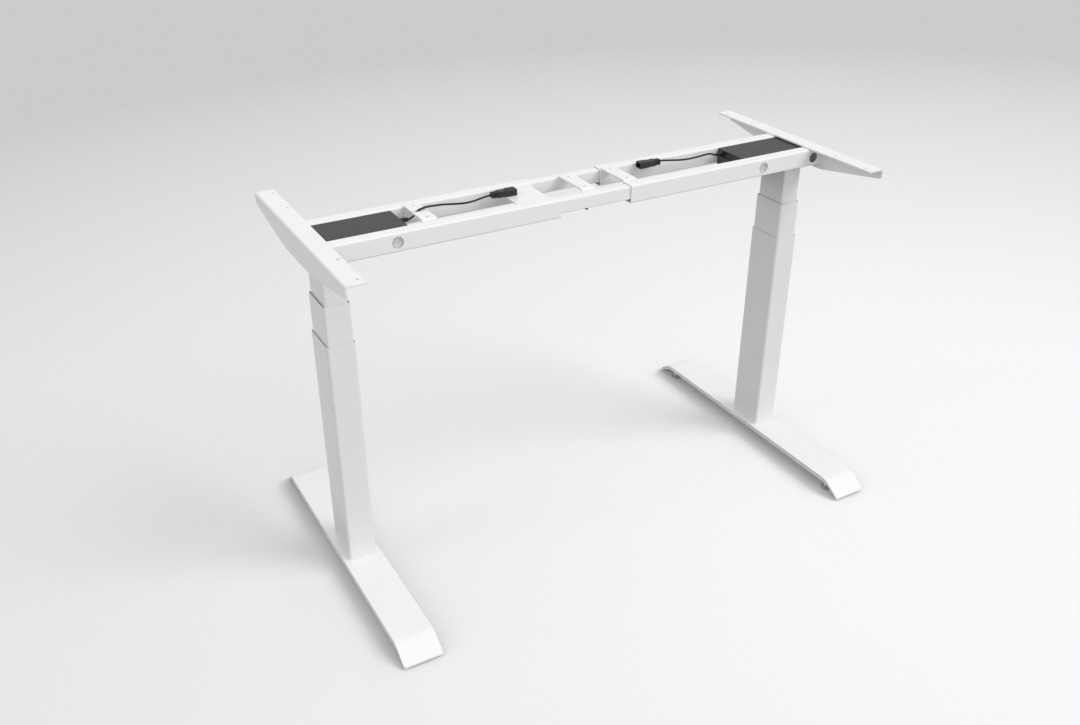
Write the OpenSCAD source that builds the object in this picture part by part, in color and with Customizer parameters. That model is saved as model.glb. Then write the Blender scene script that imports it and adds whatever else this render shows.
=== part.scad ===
// Height-adjustable frame: two three-stage lifting columns under a telescoping cross beam.
// Drawn at 747 mm, part way up; left is -X, the front is -Y, the floor is z = 0.

/* [Feet] */
// overall length of one foot
foot_len = 700; // [500:10:800]
// width of one foot
foot_w = 80; // [70:1:110]
// height of the foot's flat top above the floor
foot_top = 36; // [30:1:60]
// length of the sloped tip at each end
foot_tip = 39.5; // [20:0.5:80]
// height of the top face at the very tip
foot_tip_h = 8; // [7:0.5:14]
// sheet thickness of the foot
foot_t = 2.5; // [2:0.1:4]
// depth of the side flange
foot_flange = 13; // [11:0.5:16]
// how far the lower half of the flange stands out
foot_lip = 0.8; // [0.2:0.1:2]
// plan radius of the tip corners
foot_corner = 6; // [2:0.5:15]
// radius of a levelling pad
pad_r = 10; // [7:0.5:12]
// height of a levelling pad
pad_h = 8; // [5:0.5:12]
// levellers, distance in from the bend of the tip
leveller_back = 13.5; // [12:0.5:60]
// levellers, distance in from the side of the foot
leveller_in = 16; // [15:0.5:20]

/* [Lifting column] */
// distance of each leg from the middle of the beam
leg_x = 534; // [534:1:700]
// outer tube, size along the beam
outer_w = 57; // [56:0.5:80]
// outer tube, size along the foot
outer_d = 89.5; // [80:0.5:89.5]
// outer tube, length
outer_len = 498; // [480:1:560]
// how far the middle tube stands out of the outer one as drawn
middle_out = 81; // [78:1:120]
// middle tube, length
middle_len = 490; // [480:1:490]
// how far the inner tube stands out of the middle one as drawn
inner_out = 82; // [80:1:120]
// inner tube, length
inner_len = 482; // [400:1:485]
// wall of the column tubes
tube_wall = 1.8; // [1.5:0.1:2]
// outside corner radius of the column tubes
tube_r = 5; // [4:0.5:8]
// clearance between the outer and the middle tube
lower_gap = 0.7; // [0.6:0.1:1.2]
// clearance between the middle and the inner tube
upper_gap = 1.45; // [0.6:0.05:1.6]
// height of the sliding pads on the tubes
glide_h = 40; // [20:1:80]

/* [Spindle drive] */
// radius of the fixed rod standing on the foot
rod_r = 6; // [5:0.25:6]
// room between the fixed rod and the drive tube
rod_room = 1.5; // [1:0.1:1.8]
// wall of the hexagonal drive tube at its flats
drive_wall = 1.6; // [1.2:0.1:1.8]
// wall of the hollow screw at the corners of its hexagon
screw_wall = 3.1; // [2.5:0.1:3.2]
// wall of the nut post
post_wall = 2.8; // [2:0.1:3]
// radius of the worm wheel
wheel_r = 20; // [18:0.5:22]
// radius of the worm
worm_r = 6; // [5:0.25:7]
// running clearance of turning pieces
run_fit = 0.06; // [0.03:0.01:0.1]

/* [Beam] */
// width of the beam over both rails
beam_w = 143; // [138:0.5:170]
// width of one outer rail
rail_w = 27; // [22:0.5:29]
// height of one outer rail
rail_h = 37.5; // [36:0.5:45]
// wall of the rails
rail_wall = 2; // [1.5:0.1:2.4]
// outside corner radius of the rails
rail_r = 4; // [4:0.5:6]
// height of the rails' underside above the bottom of the motor case
rail_lift = 9; // [5:0.5:12]
// distance of the outer rails' ends from the middle of the beam
rail_end = 81; // [80:1:120]
// diameter of the round holes in the rail faces
port_d = 22; // [16:0.5:24]
// distance of the plugged hole from the leg, towards the middle
port_in = 115; // [90:1:120]
// distance of the open hole from the leg, away from the middle
port_out = 24; // [10:1:30]
// clearance between the outer rails and the sliding ones
slide_gap = 0.5; // [0.3:0.1:0.8]
// height of the sliding rails
slider_h = 27; // [22:0.5:28]
// length of the sliding rails
slider_len = 660; // [500:1:660]
// where the middle of the sliding rails sits along the beam
slider_x = -5; // [-8:1:8]

/* [Motor case] */
// length of the tall part of the case, in from the leg
case_len = 148.5; // [140:0.5:155]
// reach of the low part of the case, out from the leg
case_reach = 28; // [25:0.5:40]
// how far the low part lies below the rail tops
case_drop = 16.5; // [16:0.5:18]
// wall of the case
case_wall = 2; // [1.5:0.1:2.5]
// thickness of the lid
lid_t = 2; // [1.5:0.1:3]
// how far the lid lies below the rail tops
lid_drop = 2.5; // [1:0.5:4]

/* [Plates and brackets] */
// thickness of the table-carrying plates and brackets
plate_t = 3.5; // [3:0.5:4]
// width of each cross plate
plate_w = 30; // [26:1:36]
// left cross plate, distance from the motor case
plate_gap = 26.2; // [22:0.1:60]
// spacing of the two holes in a cross plate
plate_hole_gap = 64; // [40:1:70]
// diameter of the table screw holes
hole_d = 6.5; // [5:0.1:8]
// width of the low end plate on the left half
end_plate_w = 72; // [60:1:90]
// drop of the low end plate below the rail tops
end_plate_drop = 8; // [6:0.5:12]
// length of a table bracket
bracket_len = 499; // [480:1:600]
// width of a table bracket's flange
bracket_w = 38; // [34:0.5:48]
// how far the bracket reaches past the leg centre
bracket_out = 49.5; // [49:0.5:60]
// distance of the screw holes from the flange's inner edge
hole_edge = 9; // [7:0.5:15]
// depth of the bracket's web over the leg
web_mid = 51.5; // [45:0.5:54]
// depth of the bracket's web at its ends
web_end = 22.5; // [18:0.5:35]
// outside radius of the bend between flange and web
bracket_bend = 5; // [4.5:0.5:10]
// radius of the web's end corners
web_corner = 8; // [4:0.5:12]
// spacing of the inner pair of bracket holes
bracket_hole_in = 276; // [200:1:300]
// distance of the outer pair of bracket holes from the bracket's ends
bracket_hole_end = 20.5; // [12:0.5:60]

/* [Motor lead] */
// diameter of the motor lead
lead_d = 4; // [4:0.1:5]
// radius of the gland where the lead leaves the case
gland_r = 4.5; // [3.5:0.1:5]
// length of the gland
gland_len = 18; // [10:0.5:18]
// connector body length
plug_len = 40; // [30:1:50]
// connector body width
plug_w = 18; // [14:0.5:20]
// connector body height
plug_h = 13; // [10:0.5:14]
// wall around the connector's mouth
plug_wall = 2.2; // [1.5:0.1:3]
// length of the ribbed collar behind the connector
collar_len = 14; // [12:0.5:16]

/* [Hidden] */
$fn = 64;
white = [0.93, 0.93, 0.93];
dark = [0.30, 0.30, 0.30];
black = [0.06, 0.06, 0.07];
steel = [0.66, 0.67, 0.69];
pale = [0.80, 0.80, 0.80];
bronze = [0.72, 0.55, 0.30];
// overshoot of cutting shapes, and the gap between pieces that must not touch
eps = 1;
gap = 0.3;
// travel of each stage from the drawn height
travel_down = 75;
travel_up = 250;
// feet
foot_flat = foot_len / 2 - foot_tip;
foot_under = foot_top - foot_t;
foot_low = foot_top - foot_flange;
tip_edge = 5;
bend_back = 2;
hollow_back = 1;
leveller_x = foot_w / 2 - leveller_in;
leveller_y = foot_flat - leveller_back;
stud_r = 4;
weld_nut_r = 7.5;
weld_nut_h = 6;
// column
middle_w = outer_w - 2 * (tube_wall + lower_gap);
middle_d = outer_d - 2 * (tube_wall + lower_gap);
inner_w = middle_w - 2 * (tube_wall + upper_gap);
inner_d = middle_d - 2 * (tube_wall + upper_gap);
middle_r = tube_r - 1;
inner_r = tube_r - 1.5;
outer_top = foot_top + outer_len;
middle_top = outer_top + middle_out;
middle_bot = middle_top - middle_len;
case_bot = middle_top + inner_out;
inner_bot = case_bot - inner_len;
base_t = 8;
base_top = foot_top + base_t;
bolt_r = 4;
bolt_fit = 0.05;
bolt_head_r = 6.5;
bolt_head_h = 5;
bolt_edge = 12;
bolt_x = outer_w / 2 - tube_wall - bolt_edge;
bolt_y = outer_d / 2 - tube_wall - bolt_edge;
end_t = 10;
end_top = middle_bot + end_t;
// spindle drive
rod_foot_r = rod_r + 3;
rod_foot_h = 4;
rod_nut_h = 30;
overrun = 5;
rod_top = middle_bot + rod_nut_h + travel_up + overrun;
hex_r = (rod_r + rod_room + drive_wall) / cos(30);
hex_gap = 0.4;
screw_r = hex_r + hex_gap + screw_wall;
screw_nut_h = 25;
nut_bot = middle_top - screw_nut_h;
post_room = 1.2;
post_r = screw_r + post_room + post_wall;
screw_bot = nut_bot - travel_up - overrun;
hex_top = screw_bot + travel_up + 4 * overrun;
journal_r = hex_r + 1.5;
collar_r = journal_r + 1.2;
collar_h = 4;
hub_r = screw_r - 5;
boss_r = screw_r + 4;
boss_h = 10;
// beam
rail_bot = case_bot + rail_lift;
rail_top = rail_bot + rail_h;
top = rail_top + plate_t;
rail_y = (beam_w - rail_w) / 2;
between = beam_w / 2 - rail_w;
port_z = rail_bot + rail_h / 2;
cap_depth = 6;
cap_wall = 0.8;
cap_floor = 1.5;
slider_w = rail_w - 2 * (rail_wall + slide_gap);
slider_top = rail_top - rail_wall - slide_gap;
slider_bot = slider_top - slider_h;
slider_in = rail_y - slider_w / 2;
bridge_in = 2;
bridge_bot = slider_bot + bridge_in;
clamp_r = 3.5;
clamp_h = 2.5;
clamp_x = 14;
// motor case
case_in = leg_x - case_len;
case_out = leg_x + case_reach;
case_step = rail_top - case_drop;
case_top = rail_top - lid_drop - lid_t;
wheel_t = 10;
wheel_room = 2;
wheel_bot = case_step - case_wall - wheel_room - wheel_t;
worm_y = wheel_r + worm_r + gap;
worm_z = wheel_bot + wheel_t / 2;
worm_half = 16;
shaft_r = 4;
shaft_tip = 2;
motor_gap = 0.7;
motor_r = between - case_wall - worm_y - motor_gap;
motor_in = case_in + 12;
shaft_free = 54;
motor_end = leg_x - shaft_free;
cradle_in = 8;
socket_low = -20;
socket_wide = 52;
socket_h = 14.5;
socket_t = 6;
socket_in = case_in + 1;
socket_bot = case_top - socket_h;
gland_room = 0.5;
gland_z = case_top - gland_r - gland_room;
gland_end = case_in - gland_len;
gland_left_y = 3;
gland_right_y = 26;
// plates and brackets
plate_left = case_in - plate_gap - plate_w / 2;
plate_right = rail_end + plate_w / 2 - 0.5;
slot_x = plate_left + 5.2;
slot_y = 2;
slot_len = 13;
slot_w = lead_d + 2.6;
slot_r = slot_w / 2 - 0.1;
end_plate_in = rail_end + 2;
end_plate_top = rail_top - end_plate_drop;
bracket_x = leg_x + bracket_out;
bracket_in = bracket_x - bracket_w;
web_in = bracket_x - plate_t;
web_flat = beam_w / 2 + 3.5;
bracket_hole_x = bracket_in + hole_edge;
bracket_hole_out = bracket_len - 2 * bracket_hole_end;
// leads and connectors
lead_r = lead_d / 2;
lead_lie = top + lead_r + 0.6;
mouth_depth = 9;
collar_w = plug_w - 5;
collar_t = plug_h - 2;
groove = 1.6;
groove_depth = 1;
groove_step = 4;
groove_in = 2;
plug_left_x = -131.5;
plug_left_y = 21.5;
plug_left_z = end_plate_top + plug_h / 2;
plug_right_x = 165;
plug_right_y = 30;
plug_right_z = rail_top - 1;
plug_left_end = plug_left_x - plug_len - collar_len;
plug_right_end = plug_right_x + plug_len + collar_len;
tab_t = 2;
tab_in = 8;
tab_y = plug_right_y - 7;

// route of the left lead: out of the gland, up through the slot, over the plate to its connector
left_route = [
    [-gland_end, gland_left_y, gland_z],
    [-gland_end + 3, gland_left_y, gland_z],
    [-plate_left - 12, 2.5, rail_top - 5],
    [-plate_left - 7, 2, rail_top],
    [-plate_left - 2, 2, top + 1],
    [-plate_left + 5, 3, lead_lie],
    [-plate_left + 16, 7, lead_lie],
    [-plate_left + 30, 9, top + 1.5],
    [-290, 13, rail_top + 2],
    [-265, 13, rail_top - 1.5],
    [-245, 13, rail_top - 3.5],
    [-225, 16, rail_top - 4],
    [-207, 20, rail_top - 3],
    [plug_left_end - 6, plug_left_y, plug_left_z],
    [plug_left_end, plug_left_y, plug_left_z]];

// route of the right lead: out of the gland, one shallow wave, into its connector
right_route = [
    [gland_end, gland_right_y, gland_z],
    [gland_end - 3, gland_right_y, gland_z],
    [gland_end - 12, 25, gland_z + 3.5],
    [gland_end - 22, 24, gland_z + 6],
    [gland_end - 34, 24, gland_z + 5.5],
    [320, 24, rail_top - 5],
    [295, 25, rail_top - 6.5],
    [270, 26, rail_top - 5.5],
    [247, 28, rail_top - 3],
    [plug_right_end + 9, plug_right_y, plug_right_z],
    [plug_right_end, plug_right_y, plug_right_z]];

left = -1;
right = 1;
front = -1;
rear = 1;

// flat rectangle with round corners, centred
module rounded(w, d, r) {
    square([w - 2 * r, d], center = true);
    square([w, d - 2 * r], center = true);
    for (sx = [-1, 1])
        for (sy = [-1, 1])
            translate([sx * (w / 2 - r), sy * (d / 2 - r)]) circle(r = r);
}

// outline of a rectangular tube
module tube_outline(w, d, r, t) {
    difference() {
        rounded(w, d, r);
        rounded(w - 2 * t, d - 2 * t, r - t);
    }
}

// turns a drawing of (y, z) into a solid along x, from x0 to x1
module along_x(x0, x1) {
    translate([x0, 0, 0]) rotate([90, 0, 90]) linear_extrude(x1 - x0) children();
}

// a cylinder lying along y, from y0 to y1
module pin_y(x, z, r, y0, y1) {
    translate([x, y1, z]) rotate([90, 0, 0]) cylinder(r = r, h = y1 - y0);
}

// a cylinder lying along x, from x0 to x1
module pin_x(y, z, r, x0, x1) {
    translate([x0, y, z]) rotate([0, 90, 0]) cylinder(r = r, h = x1 - x0);
}

// the four corners of a rectangle around a leg
module at_corners(x, y, z) {
    for (sx = [-1, 1])
        for (sy = [-1, 1])
            translate([leg_x + sx * x, sy * y, z]) children();
}

// the right side is drawn as it is, the left side is its mirror image
module on_side(side) {
    if (side == left) mirror([1, 0, 0]) children();
    else children();
}

// side view of a foot: flat top, tips sloped down to the floor
module foot_side() {
    h = foot_len / 2;
    edge = foot_tip_h - tip_edge;
    polygon([[-h, edge], [-h, foot_tip_h], [-foot_flat, foot_top], [foot_flat, foot_top],
        [h, foot_tip_h], [h, edge], [h - foot_t, edge], [foot_flat - bend_back, foot_low],
        [bend_back - foot_flat, foot_low], [foot_t - h, edge]]);
}

// side view of the hollow under a foot
module foot_hollow() {
    h = foot_len / 2 - foot_t;
    polygon([[-h, -eps], [-h, foot_tip_h - foot_t], [hollow_back - foot_flat, foot_under],
        [foot_flat - hollow_back, foot_under], [h, foot_tip_h - foot_t], [h, -eps]]);
}

// pressed foot with a folded rim, carried on four levelling pads
module foot() {
    half = foot_w / 2;
    over_w = foot_w + 2 * foot_lip;
    color(white) difference() {
        intersection() {
            union() {
                along_x(leg_x - half, leg_x + half) foot_side();
                translate([leg_x - over_w / 2, bend_back - foot_flat, foot_low])
                    cube([over_w, 2 * (foot_flat - bend_back), foot_flange / 2]);
            }
            translate([leg_x, 0, 0]) linear_extrude(foot_top + eps) rounded(over_w, foot_len, foot_corner);
        }
        along_x(leg_x - half + foot_t, leg_x + half - foot_t) foot_hollow();
        at_corners(bolt_x, bolt_y, foot_under - eps) cylinder(r = bolt_r + bolt_fit, h = foot_t + 2 * eps);
    }
}

// four levelling pads, each on its stud with a weld nut under the sheet
module levellers() {
    color(pale) at_corners(leveller_x, leveller_y, 0) {
        cylinder(r = pad_r, h = pad_h);
        cylinder(r = stud_r, h = foot_under);
        translate([0, 0, foot_under - weld_nut_h]) cylinder(r = weld_nut_r, h = weld_nut_h, $fn = 6);
    }
}

// thick plate closing the bottom of the outer tube
module column_plate() {
    color(steel) difference() {
        translate([leg_x, 0, foot_top]) linear_extrude(base_t)
            rounded(outer_w - 2 * tube_wall, outer_d - 2 * tube_wall, tube_r - tube_wall);
        at_corners(bolt_x, bolt_y, foot_top - eps) cylinder(r = bolt_r + bolt_fit, h = base_t + 2 * eps);
    }
}

// four bolts from under the foot into the column plate
module column_bolts() {
    color(steel) at_corners(bolt_x, bolt_y, foot_under) {
        translate([0, 0, -bolt_head_h]) cylinder(r = bolt_head_r, h = bolt_head_h);
        cylinder(r = bolt_r, h = foot_t + base_t);
    }
}

// fixed stage of the column
module outer_tube() {
    color(white) translate([leg_x, 0, foot_top]) linear_extrude(outer_len)
        tube_outline(outer_w, outer_d, tube_r, tube_wall);
}

// threaded rod standing on the column plate, which does not turn
module fixed_rod() {
    color(steel) translate([leg_x, 0, base_top]) {
        cylinder(r = rod_foot_r, h = rod_foot_h);
        cylinder(r = rod_r, h = rod_top - base_top);
    }
}

// second stage of the column
module middle_tube() {
    color(white) translate([leg_x, 0, middle_bot]) linear_extrude(middle_len)
        tube_outline(middle_w, middle_d, middle_r, tube_wall);
}

// plate in the foot of the second stage, the bearing of the drive tube
module middle_end() {
    color(steel) translate([leg_x, 0, middle_bot]) difference() {
        linear_extrude(end_t) rounded(middle_w - 2 * tube_wall, middle_d - 2 * tube_wall, middle_r - tube_wall);
        translate([0, 0, -eps]) cylinder(r = journal_r + run_fit, h = end_t + 2 * eps);
    }
}

// sliding pads on the four sides of a tube's lower end; room is the space to the tube around it
module glides(w, d, r, bottom, room) {
    t = room - gap;
    color(pale) translate([leg_x, 0, bottom]) linear_extrude(glide_h)
        for (s = [-1, 1]) {
            translate([s * (w + t) / 2, 0]) square([t, d - 4 * r], center = true);
            translate([0, s * (d + t) / 2]) square([w - 4 * r, t], center = true);
        }
}

// pads between the outer and the middle tube
module lower_glides() {
    glides(middle_w, middle_d, middle_r, middle_bot, lower_gap);
}

// post on the middle end plate, with the nut of the hollow screw at its top
module nut_post() {
    color(steel) translate([leg_x, 0, end_top]) difference() {
        cylinder(r = post_r, h = middle_top - end_top);
        translate([0, 0, -eps]) cylinder(r = screw_r + post_room, h = nut_bot - end_top + eps);
        cylinder(r = screw_r + run_fit, h = middle_top - end_top + eps);
    }
}

// turning hexagonal tube: a nut on the fixed rod below, sliding in the hollow screw above
module drive_tube() {
    color(steel) translate([leg_x, 0, middle_bot]) difference() {
        union() {
            cylinder(r = journal_r, h = end_t + gap);
            translate([0, 0, end_t + gap]) cylinder(r = collar_r, h = collar_h);
            cylinder(r = hex_r, h = hex_top - middle_bot, $fn = 6);
        }
        translate([0, 0, -eps]) cylinder(r = rod_r + run_fit, h = rod_nut_h + 2 * eps);
        translate([0, 0, rod_nut_h]) cylinder(r = rod_r + rod_room, h = hex_top - middle_bot);
    }
}

// third stage of the column, carrying the beam
module inner_tube() {
    color(white) translate([leg_x, 0, inner_bot]) linear_extrude(inner_len)
        tube_outline(inner_w, inner_d, inner_r, tube_wall);
}

// pads between the middle and the inner tube
module upper_glides() {
    glides(inner_w, inner_d, inner_r, inner_bot, upper_gap);
}

// hollow screw hung from the worm wheel
module screw() {
    shoulder = wheel_bot - screw_bot;
    color(steel) translate([leg_x, 0, screw_bot]) difference() {
        union() {
            cylinder(r = screw_r, h = shoulder);
            cylinder(r = hub_r, h = shoulder + wheel_t + eps);
        }
        translate([0, 0, -eps]) cylinder(r = hex_r + hex_gap, h = shoulder - overrun + eps, $fn = 6);
    }
}

// worm wheel on the hub of the hollow screw
module worm_wheel() {
    color(bronze) translate([leg_x, 0, wheel_bot]) difference() {
        cylinder(r = wheel_r, h = wheel_t);
        translate([0, 0, -eps]) cylinder(r = hub_r, h = wheel_t + 2 * eps);
    }
}

// motor shaft with the worm cut on its end
module worm() {
    color(steel) {
        pin_x(worm_y, worm_z, shaft_r, motor_end + gap, leg_x + worm_half + shaft_tip);
        pin_x(worm_y, worm_z, worm_r, leg_x - worm_half, leg_x + worm_half);
    }
}

// motor lying in the case on a cradle
module motor() {
    color(dark) {
        pin_x(worm_y, worm_z, motor_r, motor_in, motor_end);
        translate([motor_in + cradle_in, worm_y - motor_r / 2, case_bot + case_wall])
            cube([motor_end - motor_in - 2 * cradle_in, motor_r, worm_z - case_bot - case_wall]);
    }
}

// hollow of the motor case, from x0 to x1 and up to height z1
module case_hollow(x0, x1, z1) {
    floor_z = case_bot + case_wall;
    translate([x0, case_wall - between, floor_z]) cube([x1 - x0, 2 * (between - case_wall), z1 - floor_z]);
}

// case of motor and gear: tall between the rails, low over the leg, with the bearing of the screw
module motor_case() {
    color(dark) difference() {
        union() {
            translate([case_in, -between, case_bot])
                cube([case_len, 2 * between, case_top - case_bot]);
            translate([case_in, -between, case_bot])
                cube([case_out - case_in, 2 * between, case_step - case_bot]);
        }
        difference() {
            union() {
                case_hollow(case_in + case_wall, leg_x - case_wall, case_top + eps);
                case_hollow(case_in + case_wall, case_out - case_wall, case_step - case_wall);
            }
            translate([leg_x, 0, case_bot]) cylinder(r = boss_r, h = boss_h);
        }
        translate([leg_x, 0, case_bot - eps]) cylinder(r = screw_r + run_fit, h = boss_h + 2 * eps);
        translate([case_in - eps, socket_low, socket_bot])
            cube([case_wall + 2 * eps, socket_wide, socket_h + eps]);
    }
}

// lid of the case, a little below the rail tops, reaching on under the bracket's flange
module case_lid() {
    color(dark) translate([case_in, -between, case_top]) cube([case_out - case_in, 2 * between, lid_t]);
}

// socket block in the end of the case, with the gland of the motor lead
module socket(gland_y) {
    color(black) {
        translate([socket_in, socket_low, socket_bot]) cube([socket_t, socket_wide, socket_h]);
        pin_x(gland_y, gland_z, gland_r, gland_end, socket_in + socket_t / 2);
    }
}

// one outer rail of the beam, with two round holes in its outer face
module outer_rail(side) {
    face = side * beam_w / 2;
    color(white) difference() {
        along_x(rail_end, web_in) translate([side * rail_y, port_z])
            tube_outline(rail_w, rail_h, rail_r, rail_wall);
        for (x = [leg_x - port_in, leg_x + port_out])
            pin_y(x, port_z, port_d / 2, face - rail_wall - eps, face + rail_wall + eps);
    }
}

// shallow caps pressed into the plugged holes of both rails
module port_plugs() {
    x = leg_x - port_in;
    color(white) for (s = [-1, 1]) {
        face = s * beam_w / 2;
        mid = s * (beam_w - cap_depth) / 2;
        difference() {
            pin_y(x, port_z, port_d / 2, mid - cap_depth / 2, mid + cap_depth / 2);
            pin_y(x, port_z, port_d / 2 - cap_wall, face - cap_depth + cap_floor, face + cap_depth - cap_floor);
        }
    }
}

// bent cross plate: a flat top carrying the table, both ends folded down onto the rails
module bridge(x, half_y) {
    depth = top - bridge_bot;
    color(white) difference() {
        along_x(x - plate_w / 2, x + plate_w / 2) translate([0, bridge_bot]) intersection() {
            difference() {
                rounded(2 * half_y, 2 * depth, plate_t);
                square([2 * (half_y - plate_t), 2 * (depth - plate_t)], center = true);
            }
            translate([-half_y - eps, 0]) square([2 * (half_y + eps), depth + eps]);
        }
        for (s = [-1, 1])
            translate([x, s * plate_hole_gap / 2, rail_top - eps]) cylinder(d = hole_d, h = plate_t + 2 * eps);
    }
}

// cross plate of the left half, with a slot for the motor lead
module slotted_bridge() {
    color(white) difference() {
        bridge(plate_left, between);
        translate([slot_x, slot_y, rail_top - eps]) linear_extrude(plate_t + 2 * eps)
            rounded(slot_len, slot_w, slot_r);
    }
}

// low plate closing the end of the left half, where the connector lies
module end_plate() {
    color(white) translate([end_plate_in, -between, end_plate_top - plate_t])
        cube([end_plate_w, 2 * between, plate_t]);
}

// small tab on the rear rail, where the right connector lies
module rest_tab() {
    color(white) translate([plug_right_x + tab_in, tab_y, plug_right_z - plug_h / 2 - tab_t])
        cube([plug_len - 2 * tab_in, between - tab_y, tab_t]);
}

// side view of a bracket's web, deep over the leg and shallow at the ends
module web_side() {
    h = bracket_len / 2;
    r = web_corner;
    end_bot = top - web_end;
    mid_bot = top - web_mid;
    polygon([[-h, top], [-h, end_bot + r], [r - h, end_bot], [-web_flat, mid_bot],
        [web_flat, mid_bot], [h - r, end_bot], [h, end_bot + r], [h, top]]);
    for (s = [-1, 1])
        translate([s * (h - r), end_bot + r]) circle(r = r);
}

// section of a bracket: flange, bend and web, drawn in (x, z)
module bracket_section() {
    r = bracket_bend;
    difference() {
        union() {
            translate([bracket_in, top - web_mid]) square([bracket_w - r, web_mid]);
            translate([bracket_in, top - web_mid]) square([bracket_w, web_mid - r]);
            translate([bracket_x - r, top - r]) circle(r = r);
        }
        translate([bracket_in - eps, top - web_mid - eps])
            square([bracket_w - plate_t + eps, web_mid - plate_t + eps]);
    }
}

// table bracket: a bent angle lying on the rails with its web outside
module bracket() {
    color(white) difference() {
        intersection() {
            translate([0, bracket_len / 2, 0]) rotate([90, 0, 0]) linear_extrude(bracket_len) bracket_section();
            along_x(bracket_in - eps, bracket_x + eps) web_side();
        }
        for (y = [bracket_hole_in / 2, bracket_hole_out / 2])
            for (s = [-1, 1])
                translate([bracket_hole_x, s * y, rail_top - eps]) cylinder(d = hole_d, h = plate_t + 2 * eps);
    }
}

// one sliding rail of the ladder between the two halves
module ladder_rail(side) {
    color(white) along_x(slider_x - slider_len / 2, slider_x + slider_len / 2)
        translate([side * rail_y, slider_bot + slider_h / 2])
            tube_outline(slider_w, slider_h, rail_r - 1.5, rail_wall);
}

// clamp screws under the sliding rails
module ladder_screws() {
    color(black) for (s = [-1, 1])
        translate([slider_x - clamp_x, s * (rail_y + slider_w / 2 - clamp_r - eps), slider_bot - clamp_h])
            cylinder(r = clamp_r, h = clamp_h);
}

// in-line connector with its open mouth at x = 0 and a ribbed collar behind, along +x
module connector() {
    color(black) difference() {
        union() {
            translate([0, -plug_w / 2, -plug_h / 2]) cube([plug_len, plug_w, plug_h]);
            translate([plug_len, -collar_w / 2, -collar_t / 2]) cube([collar_len, collar_w, collar_t]);
        }
        translate([-eps, plug_wall - plug_w / 2, plug_wall - plug_h / 2])
            cube([mouth_depth + eps, plug_w - 2 * plug_wall, plug_h - 2 * plug_wall]);
        for (x = [plug_len + groove_in : groove_step : plug_len + collar_len - groove])
            translate([x, 0, 0]) difference() {
                translate([0, -plug_w / 2, -plug_h / 2]) cube([groove, plug_w, plug_h]);
                translate([-eps, groove_depth - collar_w / 2, groove_depth - collar_t / 2])
                    cube([groove + 2 * eps, collar_w - 2 * groove_depth, collar_t - 2 * groove_depth]);
            }
    }
}

// connector of the left lead, lying on the low end plate
module left_connector() {
    translate([plug_left_x, plug_left_y, plug_left_z]) mirror([1, 0, 0]) connector();
}

// connector of the right lead, lying on the rest tab
module right_connector() {
    translate([plug_right_x, plug_right_y, plug_right_z]) connector();
}

// smooth curve through the route points: the point at t between p1 and p2
function curve(p0, p1, p2, p3, t) =
    0.5 * (2 * p1 + (p2 - p0) * t + (2 * p0 - 5 * p1 + 4 * p2 - p3) * t * t
        + (3 * p1 - p0 - 3 * p2 + p3) * t * t * t);
function at(route, i) = route[max(0, min(len(route) - 1, i))];
function spine(route) = concat(
    [for (i = [0 : len(route) - 2])
        for (t = [0, 0.5])
            curve(at(route, i - 1), at(route, i), at(route, i + 1), at(route, i + 2), t)],
    [route[len(route) - 1]]);
function unit(v) = v / norm(v);
// direction along the curve s; its two ends run straight out of the route's first and last points
function heading(route, s, i) =
    i == 0 ? unit(route[1] - route[0]) :
    i == len(s) - 1 ? unit(route[len(route) - 1] - route[len(route) - 2]) :
    unit(s[i + 1] - s[i - 1]);
function ring(c, d, r, n) =
    let (u = unit(cross(d, [0, 0, 1])), w = cross(u, d))
    [for (k = [0 : n - 1]) c + r * (u * cos(360 * k / n) + w * sin(360 * k / n))];

// round lead swept along its route
module lead(route, n = 10) {
    s = spine(route);
    m = len(s);
    points = [for (i = [0 : m - 1]) each ring(s[i], heading(route, s, i), lead_r, n)];
    sides = [for (i = [0 : m - 2]) for (k = [0 : n - 1])
        [i * n + k, i * n + (k + 1) % n, (i + 1) * n + (k + 1) % n, (i + 1) * n + k]];
    ends = [[for (k = [0 : n - 1]) n - 1 - k], [for (k = [0 : n - 1]) (m - 1) * n + k]];
    color(black) polyhedron(points = points, faces = concat(sides, ends));
}

on_side(left) foot();  // left_foot
on_side(left) levellers();  // left_levellers
on_side(left) column_plate();  // left_column_plate
on_side(left) column_bolts();  // left_column_bolts
on_side(left) outer_tube();  // left_outer_tube
on_side(left) fixed_rod();  // left_fixed_rod
on_side(left) middle_tube();  // left_middle_tube
on_side(left) middle_end();  // left_middle_end
on_side(left) lower_glides();  // left_lower_glides
on_side(left) nut_post();  // left_nut_post
on_side(left) drive_tube();  // left_drive_tube
on_side(left) inner_tube();  // left_inner_tube
on_side(left) upper_glides();  // left_upper_glides
on_side(left) screw();  // left_screw
on_side(left) worm_wheel();  // left_worm_wheel
on_side(left) worm();  // left_worm
on_side(left) motor();  // left_motor
on_side(left) motor_case();  // left_case
on_side(left) case_lid();  // left_case_lid
on_side(left) socket(gland_left_y);  // left_socket
on_side(left) outer_rail(front);  // left_front_rail
on_side(left) outer_rail(rear);  // left_rear_rail
on_side(left) port_plugs();  // left_port_plugs
on_side(left) slotted_bridge();  // left_cross_plate
on_side(left) bracket();  // left_bracket
lead(left_route);  // left_lead
left_connector();
on_side(left) end_plate();  // left_end_plate
ladder_rail(front);  // ladder_front_rail
ladder_rail(rear);  // ladder_rear_rail
bridge(slider_x, slider_in);  // ladder_plate
ladder_screws();
on_side(right) foot();  // right_foot
on_side(right) levellers();  // right_levellers
on_side(right) column_plate();  // right_column_plate
on_side(right) column_bolts();  // right_column_bolts
on_side(right) outer_tube();  // right_outer_tube
on_side(right) fixed_rod();  // right_fixed_rod
on_side(right) middle_tube();  // right_middle_tube
on_side(right) middle_end();  // right_middle_end
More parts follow.
